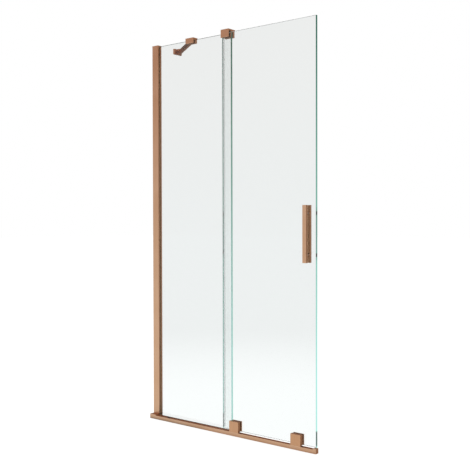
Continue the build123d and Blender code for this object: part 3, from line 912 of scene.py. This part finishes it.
def plate_pair(name: str, box: Box, thickness: float) -> Workpiece:
    """Two thin upright plates, one at each Y side of a box.

    Args:
        name: The name of the piece.
        box: The space that they take up together.
        thickness: The thickness of each.

    Returns:
        The piece.
    """
    front = Workpiece(name, box.low, (box.high.x, box.low.y + thickness, box.high.z))
    rear = Workpiece(name, (box.low.x, box.high.y - thickness, box.low.z), box.high)
    front.join([rear])
    return front


def ribbed_pair(name: str, box: Box, length: float, ribs: int, rib_height: float) -> Workpiece:
    """Two low blocks with ribbed tops, one at each X end of a box.

    Args:
        name: The name of the piece.
        box: The space that they take up together.
        length: The length of each.
        ribs: The number of ribs on each.
        rib_height: How far the ribs stand up.

    Returns:
        The piece.
    """
    pitch = length / (2 * ribs - 1)
    blocks = []
    for start in (box.low.x, box.high.x - length):
        top = box.high.z - rib_height
        block = Workpiece(name, (start, box.low.y, box.low.z), (start + length, box.high.y, top))
        block.cut(Axis.X, *(start + pitch * number for number in range(1, 2 * ribs - 1)))

        def on_rib(centre: Vector, normal: Vector) -> bool:
            """Whether a face is the top of every second strip."""
            return normal.z > FACING and int((centre.x - start) / pitch) % 2 == 0

        block.pull(on_rib, (0.0, 0.0, rib_height))
        blocks.append(block)
    blocks[0].join(blocks[1:])
    return blocks[0]


@dataclass
class WallProfile(Assembly):
    """The two channels at the wall, their cap, screws and gaskets."""

    lip_reach: float = 0.0022
    hook_reach: float = 0.0034
    lip_depth: float = 0.002
    tail_drift: float = 0.0015
    tail_taper: float = 0.15
    rounding: float = 0.0003

    def finishes(self) -> dict[str, Finish]:
        """The finish of each node."""
        return {
            "wall_channel": ALUMINIUM,
            "glass_channel": COPPER_UPRIGHT,
            "channel_top_cap": COPPER_LENGTHWAYS,
            "channel_lock_screws": STEEL,
        }

    def model(self) -> list[str]:
        """The two gaskets between the pane and the channel."""
        table = {"glazing_gasket_front": -1.0, "glazing_gasket_rear": 1.0}
        for node, side in table.items():
            self.gasket(node, side)
        return list(table)

    def gasket(self, node: str, side: float) -> None:
        """A wedge gasket with a lip, a hook behind the channel's lip and a thin tail.

        Args:
            node: The CAD node that it stands for.
            side: The Y side of the pane that it is on, -1 or 1.
        """
        box = Box.of(node)
        near, hook = (box.high.y, box.low.y) if side < 0 else (box.low.y, box.high.y)
        far = near + side * self.lip_depth
        start = box.high.x - self.hook_reach
        neck = box.high.x - self.lip_reach
        low = (start, min(near, far), box.low.z)
        piece = Workpiece(f"{node}_lip", low, (box.high.x, max(near, far), box.high.z))
        piece.cut(Axis.X, neck)

        def on_hook(centre: Vector, normal: Vector) -> bool:
            """Whether a face is the one that the hook grows from."""
            return normal.y * side > FACING and centre.x < neck

        piece.pull(on_hook, (0.0, hook - far, 0.0))
        drift = (box.low.x - start, -side * self.tail_drift, 0.0)
        piece.pull(lambda centre, normal: normal.x < -FACING, drift, (1.0, self.tail_taper, 1.0))
        piece.soften(self.rounding)
        piece.stand_for(node, "fixed_screen", "dark_gasket", BROWN_RUBBER)


@dataclass
class FixedPane(Assembly):
    """The fixed pane and the channel that it stands in."""

    block_length: float = 0.06
    block_ribs: int = 6
    rib_height: float = 0.0006
    rounding: float = 0.0002

    def finishes(self) -> dict[str, Finish]:
        """The finish of each node."""
        return {
            "fixed_glass": GLASS,
            "sill_channel": COPPER_LENGTHWAYS,
        }

    def model(self) -> list[str]:
        """The rubber blocks that the pane stands on."""
        box = Box.of("setting_blocks")
        blocks = ribbed_pair(
            "setting_blocks_ribbed", box, self.block_length, self.block_ribs, self.rib_height
        )
        blocks.soften(self.rounding)
        blocks.stand_for("setting_blocks", "fixed_screen", "setting_rubber", BLACK_RUBBER)
        return ["setting_blocks"]


@dataclass
class BottomRail(Assembly):
    """The rail that the rollers run on, with its ends, screws and stops."""

    stop_length: float = 0.01
    stop_ribs: int = 3
    rib_height: float = 0.0009
    rounding: float = 0.0003

    def finishes(self) -> dict[str, Finish]:
        """The finish of each node."""
        return {
            "bottom_rail": COPPER_LENGTHWAYS,
            "rail_wall_block": COPPER_LENGTHWAYS,
            "rail_end_cap": COPPER_LENGTHWAYS,
            "rail_fixing_screws": STEEL,
        }

    def model(self) -> list[str]:
        """The two rubber stops in the rail's groove."""
        box = Box.of("rail_stops")
        stops = ribbed_pair(
            "rail_stops_ribbed", box, self.stop_length, self.stop_ribs, self.rib_height
        )
        stops.soften(self.rounding)
        stops.stand_for("rail_stops", "fixed_screen", "setting_rubber", BLACK_RUBBER)
        return ["rail_stops"]


@dataclass
class TopGuide(Assembly):
    """The block at the fixed pane's free top corner."""

    pocket_border: float = 0.0025
    pocket_depth: float = 0.0005
    rounding: float = 0.0003

    def finishes(self) -> dict[str, Finish]:
        """The finish of each node."""
        return {
            "guide_block": COPPER_LENGTHWAYS,
            "guide_liners": DARK_NYLON,
            "guide_grub_screws": STEEL,
        }

    def model(self) -> list[str]:
        """The pad between the pane and the grub screws, with a shallow pocket for their ends."""
        box = Box.of("guide_clamp_pad")
        pad = Workpiece("guide_clamp_pad_moulded", box.low, box.high)
        pad.dent(lambda centre, normal: normal.y > FACING, self.pocket_border, self.pocket_depth)
        pad.soften(self.rounding)
        pad.stand_for("guide_clamp_pad", "fixed_screen", "setting_rubber", BLACK_RUBBER)
        return ["guide_clamp_pad"]


@dataclass
class SupportArm(Assembly):
    """The bar between the fixed pane's top edge and the wall."""

    pad_thickness: float = 0.0005
    pad_rounding: float = 0.0001
    # painted shade on the bar: the power that darkens its copper
    bar_painted_shade: float = 1.4

    def finishes(self) -> dict[str, Finish]:
        """The finish of each node, with the bar brushed along its own run."""
        wall = Box.of("arm_wall_plate").centre
        clamp = Box.of("arm_glass_clamp").centre
        run = clamp - wall
        turn = math.atan2(run.y, run.x)
        # the bar's copper is darkened with painted shade
        along_bar = BrushedCopper(Axis.X, turn=turn, depth=self.bar_painted_shade)
        return {
            "arm_glass_clamp": COPPER_LENGTHWAYS,
            "arm_clamp_screws": STEEL,
            "arm_wall_plate": PLATE_COPPER_PAINTED_SHADE,
            "support_arm": along_bar,
            "arm_pivot_pins": STEEL,
        }

    def model(self) -> list[str]:
        """The pads that line the clamp."""
        box = Box.of("arm_clamp_pads")
        pads = plate_pair("arm_clamp_pads_cut", box, self.pad_thickness)
        pads.soften(self.pad_rounding)
        pads.stand_for("arm_clamp_pads", "fixed_screen", "setting_rubber", BLACK_RUBBER)
        return ["arm_clamp_pads"]


@dataclass(frozen=True)
class FinStep:
    """One stage of the seal's fin: how far it drifts and rises, and its width as a share."""

    drift: float
    rise: float
    taper: float


@dataclass
class SlidingPane(Assembly):
    """The sliding pane and the seal on its leading edge."""

    fin_place: float = 0.00425
    fin_width: float = 0.0012
    fin_steps: tuple[FinStep, ...] = (
        FinStep(0.0003, 0.0018, 0.8),
        FinStep(0.0002, 0.0018, 0.8),
        FinStep(-0.0002, 0.0017, 0.65),
    )
    rounding: float = 0.00015
    rounding_segments: int = 2
    rounding_angle: float = 40.0

    def finishes(self) -> dict[str, Finish]:
        """The finish of each node."""
        return {"sliding_glass": SLIDING_GLASS}

    def model(self) -> list[str]:
        """The clip seal on the pane's edge, with a tapered fin that curves to the fixed pane."""
        box, pane = Box.of("overlap_seal"), Box.of("sliding_glass")
        wall = pane.low.y - box.low.y
        back = pane.high.y + wall
        root = box.low.x + self.fin_place
        seal = Workpiece("overlap_seal_clip", box.low, (pane.low.x, back, box.high.z))
        seal.cut(Axis.Y, pane.low.y, pane.high.y)

        def on_leg(centre: Vector, normal: Vector) -> bool:
            """Whether a face is one that a leg of the clip grows from."""
            return normal.x > FACING and not pane.low.y < centre.y < pane.high.y

        def on_root(centre: Vector, normal: Vector) -> bool:
            """Whether a face is the strip of the rear leg that the fin grows from."""
            behind = normal.y > FACING and centre.y > pane.high.y
            return behind and 0.0 < centre.x - root < self.fin_width

        def on_tip(centre: Vector, normal: Vector) -> bool:
            """Whether a face is the fin's end so far."""
            return normal.y > FACING and centre.y > back + wall / 10

        seal.pull(on_leg, (box.high.x - pane.low.x, 0.0, 0.0))
        seal.cut(Axis.X, root, root + self.fin_width)
        for number, step in enumerate(self.fin_steps):
            test = on_tip if number else on_root
            seal.pull(test, (step.drift, step.rise, 0.0), (step.taper, 1.0, 1.0))
        seal.soften(self.rounding, self.rounding_segments, self.rounding_angle)
        seal.stand_for("overlap_seal", "sliding_door", "clear_seal", SEAL_PLASTIC)
        return ["overlap_seal"]


@dataclass
class Handle(Assembly):
    """The bar handle, one bar on each face of the sliding pane."""

    washer_radius: float = 0.0065
    washer_border: float = 0.0038
    washer_thickness: float = 0.0006
    washer_rounding: float = 0.0001

    def finishes(self) -> dict[str, Finish]:
        """The finish of each node."""
        return {
            "handle_front_bar": COPPER_UPRIGHT,
            "handle_rear_bar": COPPER_UPRIGHT,
            "handle_collars": COPPER_UPRIGHT,
            "handle_screws": STEEL,
        }

    def model(self) -> list[str]:
        """The four clear washers between the handle's collars and the glass."""
        box = Box.of("handle_washers")
        radius, half = self.washer_radius, self.washer_thickness / 2
        rings = []
        for y in (box.low.y + half, box.high.y - half):
            for z in (box.low.z + radius, box.high.z - radius):
                centre = Vector((box.centre.x, y, z))
                ring = Workpiece.rod("handle_washers_cut", centre, radius, 2 * half)
                ring.pierce(self.washer_border)
                rings.append(ring)
        rings[0].join(rings[1:])
        rings[0].soften(self.washer_rounding)
        rings[0].stand_for("handle_washers", "sliding_door", "clear_seal", SEAL_PLASTIC)
        return ["handle_washers"]


@dataclass
class Carriage(Assembly):
    """One of the two blocks that carry the sliding pane, with its roller."""

    side: str
    pad_thickness: float = 0.0005
    pad_rounding: float = 0.0001
    hole_offset: float = 0.012
    hole_height: float = 0.046
    hole_radius: float = 0.0045

    def finishes(self) -> dict[str, Finish]:
        """The finish of each node."""
        table = {
            "carriage_housing": CARRIAGE_COPPER_PAINTED_SHADE,
            "carriage_clamp_plate": COPPER_UPRIGHT,
            "carriage_screws": STEEL,
            "roller_axle": STEEL,
            "roller_tyre": WHITE_NYLON,
            "roller_bearing": BEARING_STEEL,
        }
        return {f"{self.side}_{name}": finish for name, finish in table.items()}

    def model(self) -> list[str]:
        """The two pads between the carriage and the glass, with holes for the clamp screws."""
        node = f"{self.side}_carriage_pads"
        box = Box.of(node)
        pads = plate_pair(f"{node}_cut", box, self.pad_thickness)
        for side in (-1.0, 1.0):
            centre = Vector((box.centre.x + side * self.hole_offset, box.centre.y, self.hole_height))
            pads.drill(centre, self.hole_radius, 4 * box.half.y)
        pads.soften(self.pad_rounding)
        pads.stand_for(node, "sliding_door", "setting_rubber", BLACK_RUBBER)
        return [node]


@dataclass(frozen=True)
class SoftBox:
    """A square lamp: its name, where it hangs, the length of its sides and its watts."""

    name: str
    place: Point
    side: float
    power: float


@dataclass
class Studio:
    """The plain pale floor, the light and the camera.

    What metal and glass mirror is set apart from what lights the object: a bright low wall
    of light ahead of the panes, a warm dusk above it, and a dimmer room elsewhere. The values
    that start with behind are what is seen through the glass.
    """

    camera_place: Point = (2.282748, -2.28269, 0.798319)
    camera_yaw: float = 0.684394
    camera_pitch: float = 0.017911
    camera_roll: float = -0.001994
    lens: float = 60.445
    sensor: float = 36.0
    floor_drop: float = 0.0006
    floor_half: float = 30.0
    floor_middle: Point = (0.4, 0.0, 0.0)
    floor_colour: Colour = (0.8, 0.8, 0.8)
    seen_floor_colour: Colour = (0.36, 0.36, 0.36)
    seen_floor_glow: float = 0.79
    light_edges: Span = (-0.6, -0.15)
    light_top: Span = (-0.1, 0.35)
    light_foot: float = 8.0  # how quickly the floor takes up the light's edges, per metre
    mirrored_light: Colour = (1.0, 1.01, 1.02)
    mirrored_high: Colour = (0.56, 0.352, 0.30)
    mirrored_side: Colour = (0.45, 0.345, 0.30)
    mirrored_back: Colour = (0.1, 0.1, 0.1)
    back_edges: Span = (-0.85, -0.55)
    underfoot: float = 0.05  # the reach of the floor that has no direction of its own
    behind_high: float = 0.955
    behind_level: float = 0.93
    behind_near: float = 1.07
    behind_fade: Span = (0.5, 3.0)
    behind_rise: float = 0.25
    dome: float = 0.8
    aim: Point = (0.4, 0.0, 0.75)
    lamps: tuple[SoftBox, ...] = (
        SoftBox("key", (-1.6, -2.8, 3.0), 2.2, 34.0),
        SoftBox("fill", (3.4, 1.2, 2.2), 2.0, 26.0),
        SoftBox("rear", (-0.6, 3.2, 2.6), 2.4, 16.0),
    )

    def build(self) -> None:
        """Make everything round the object."""
        self.make_world()
        self.make_floor()
        for lamp in self.lamps:
            self.make_lamp(lamp)
        self.make_camera()
        bpy.context.scene.view_settings.view_transform = "Standard"

    def facing_light(self, y: Signal) -> Signal:
        """1 towards the wall of light, which is on the -Y side, and 0 away from it."""
        return y.fall(*self.light_edges)

    def mirrored(self, graph: Graph, x: Signal, facing: Signal, low: Number) -> Signal:
        """What metal and glass mirror.

        Args:
            graph: The graph of the world or the floor.
            x: The X part of the direction.
            facing: 1 towards the side that the wall of light is on.
            low: 1 at the height of the wall of light, and 0 above it.

        Returns:
            The colour of the wall of light, of the warm dusk above it or of the room elsewhere.
        """
        room = graph.blend(x.rise(*self.back_edges), self.mirrored_back, self.mirrored_side)
        ahead = graph.blend(low, self.mirrored_high, self.mirrored_light)
        return graph.blend(facing, room, ahead)

    def make_world(self) -> None:
        """White behind the object, a soft dome of light and a simple studio to mirror."""
        world = bpy.data.worlds.new("studio_world")
        world.cycles.sampling_method = "NONE"
        bpy.context.scene.world = world
        graph = Graph(world)
        x, y, z = graph.split(graph.out("ShaderNodeTexCoord", "Generated"))
        mirrored = self.mirrored(graph, x, self.facing_light(y), z.fall(*self.light_top))
        lift = z.rise(0.0, self.behind_rise) * (self.behind_high - self.behind_level)
        behind = self.behind_level + lift
        seen, through = graph.ray("Camera"), graph.ray("Transmission")
        direct = through * behind + (1.0 - through) * self.dome
        unseen = graph.blend(graph.mirrored(), direct, mirrored)
        inputs = {"Color": graph.blend(seen, unseen, (1.0, 1.0, 1.0)), "Strength": 1.0}
        light = graph.out("ShaderNodeBackground", "Background", None, inputs)
        graph.finish(light, "ShaderNodeOutputWorld")

    def make_floor(self) -> None:
        """A white floor that keeps a faint shadow and that metal and glass see as the room."""
        place = (self.floor_middle[0], self.floor_middle[1], -self.floor_drop)
        bpy.ops.mesh.primitive_plane_add(size=2 * self.floor_half, location=place)
        floor = bpy.context.object
        floor.name = "studio_floor"
        material = bpy.data.materials.new("studio_floor")
        graph = Graph(material)
        x, y, _ = graph.split(graph.place())
        distance = graph.maths("SQRT", x * x + y * y)
        facing = self.facing_light(y * self.light_foot)
        mirrored = self.mirrored(graph, x / (distance + self.underfoot), facing, 1.0)
        far = distance.rise(*self.behind_fade)
        behind = self.behind_near + far * (self.behind_level - self.behind_near)
        seen, through = graph.ray("Camera"), graph.ray("Transmission")
        bounced = graph.mirrored()
        unseen = graph.blend(bounced, through * behind, mirrored)
        glow_seen = (self.seen_floor_glow,) * 3
        inputs = {"Color": graph.blend(seen, unseen, glow_seen), "Strength": 1.0}
        glow = graph.out("ShaderNodeEmission", "Emission", None, inputs)
        matt = graph.out("ShaderNodeBsdfDiffuse", "BSDF", None, {"Color": self.floor_colour})
        dim = graph.out("ShaderNodeBsdfDiffuse", "BSDF", None, {"Color": self.seen_floor_colour})
        shaded = graph.out("ShaderNodeAddShader", "Shader", None, {0: dim, 1: glow})
        direct = graph.mixed(seen, glow, shaded)
        graph.finish(graph.mixed(seen.most(through).most(bounced), matt, direct))
        floor.data.materials.append(material)

    def make_lamp(self, box: SoftBox) -> None:
        """Add a soft box that faces the object and isn't mirrored in it.

        Args:
            box: The lamp to add.
        """
        data = bpy.data.lights.new(f"{box.name}_lamp", "AREA")
        data.shape = "SQUARE"
        data.size = box.side
        data.energy = box.power
        lamp = bpy.data.objects.new(f"{box.name}_lamp", data)
        bpy.context.scene.collection.objects.link(lamp)
        lamp.visible_glossy = False
        lamp.visible_transmission = False
        lamp.location = box.place
        aim = Vector(self.aim) - Vector(box.place)
        lamp.rotation_euler = aim.to_track_quat("-Z", "Y").to_euler()

    def make_camera(self) -> None:
        """The camera where the photographer's stood."""
        data = bpy.data.cameras.new("camera")
        data.sensor_width = self.sensor
        data.lens = self.lens
        camera = bpy.data.objects.new("camera", data)
        bpy.context.scene.collection.objects.link(camera)
        camera.matrix_world = (
            Matrix.Translation(self.camera_place)
            @ Matrix.Rotation(self.camera_yaw, 4, "Z")
            @ Matrix.Rotation(math.pi / 2 - self.camera_pitch, 4, "X")
            @ Matrix.Rotation(self.camera_roll, 4, "Z")
        )
        bpy.context.scene.camera = camera


def main() -> None:
    """Load the frame, dress every assembly and set the stage."""
    logging.basicConfig(level=logging.INFO, format="%(name)s: %(message)s")
    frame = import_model()
    nodes = frame["nodes"]
    assemblies = [
        WallProfile(nodes),
        FixedPane(nodes),
        BottomRail(nodes),
        TopGuide(nodes),
        SupportArm(nodes),
        SlidingPane(nodes),
        Handle(nodes),
        Carriage(nodes, "left"),
        Carriage(nodes, "right"),
    ]
    for assembly in assemblies:
        for piece in assembly.dress():
            LOG.info("%s: dressed %s", type(assembly).__name__, piece)
        for piece in assembly.model():
            LOG.info("%s: modelled %s", type(assembly).__name__, piece)
    Studio().build()


if __name__ == "__main__":
    main()
